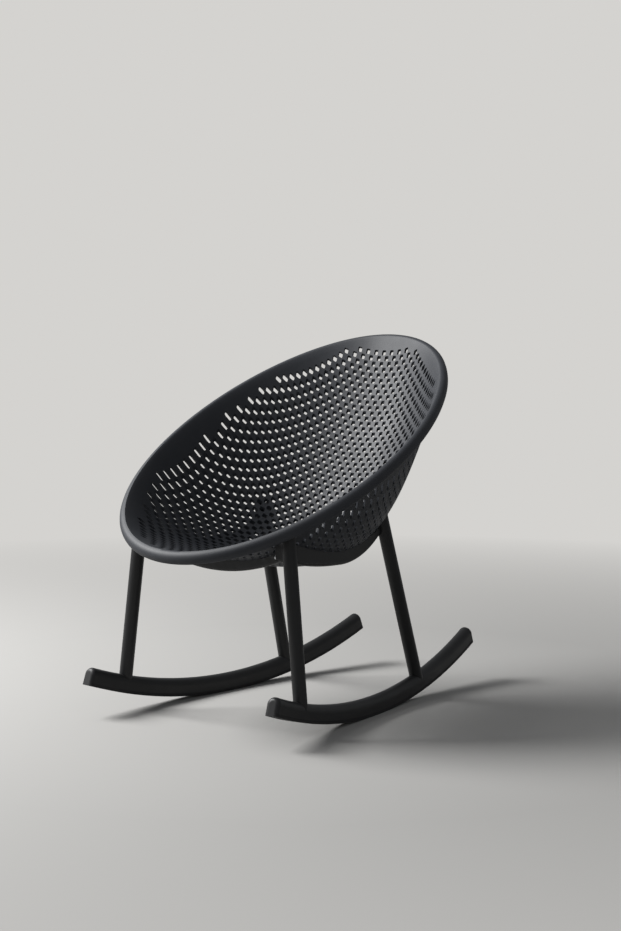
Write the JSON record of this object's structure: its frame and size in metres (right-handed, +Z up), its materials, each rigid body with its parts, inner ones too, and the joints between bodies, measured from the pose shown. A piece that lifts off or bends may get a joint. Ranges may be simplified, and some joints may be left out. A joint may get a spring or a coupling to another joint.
{
  "type": "rocking chair",
  "caption": "Moulded plastic rocking chair: a perforated bowl seat with a rolled rim, on round legs and curved rockers, for sitting and rocking.",
  "frame": {"origin": "on the floor, in the middle of the chair's width, in the line where both rockers touch the floor at rest", "axes": "+Z up, -Y the way the chair faces, +X the sitter's left"},
  "size_m": [0.6578, 0.8817, 0.8043],
  "materials": {
    "seat_plastic": "fine matt grain",
    "frame_plastic": "satin matt",
    "sole_rubber": "matt",
    "plug_nylon": "matt",
    "fastener_steel": "zinc plated"
  },
  "bodies": {
    "root": {"corner_bolt_washers": "fastener_steel", "corner_bolts": "fastener_steel", "foot_bolt_washers": "fastener_steel", "foot_bolts": "fastener_steel", "front_cross_member": "frame_plastic", "front_leg_foot_plug_left": "plug_nylon", "front_leg_foot_plug_right": "plug_nylon", "front_leg_left": "frame_plastic", "front_leg_right": "frame_plastic", "front_leg_top_plug_left": "plug_nylon", "front_leg_top_plug_right": "plug_nylon", "rear_cross_member": "frame_plastic", "rear_leg_foot_plug_left": "plug_nylon", "rear_leg_foot_plug_right": "plug_nylon", "rear_leg_left": "frame_plastic", "rear_leg_right": "frame_plastic", "rear_leg_top_plug_left": "plug_nylon", "rear_leg_top_plug_right": "plug_nylon", "rocker_left": "frame_plastic", "rocker_right": "frame_plastic", "rocker_sole_left": "sole_rubber", "rocker_sole_right": "sole_rubber", "seat_screws": "fastener_steel", "seat_shell": "seat_plastic", "side_beam_left": "frame_plastic", "side_beam_right": "frame_plastic"}
  },
  "joints": []
}
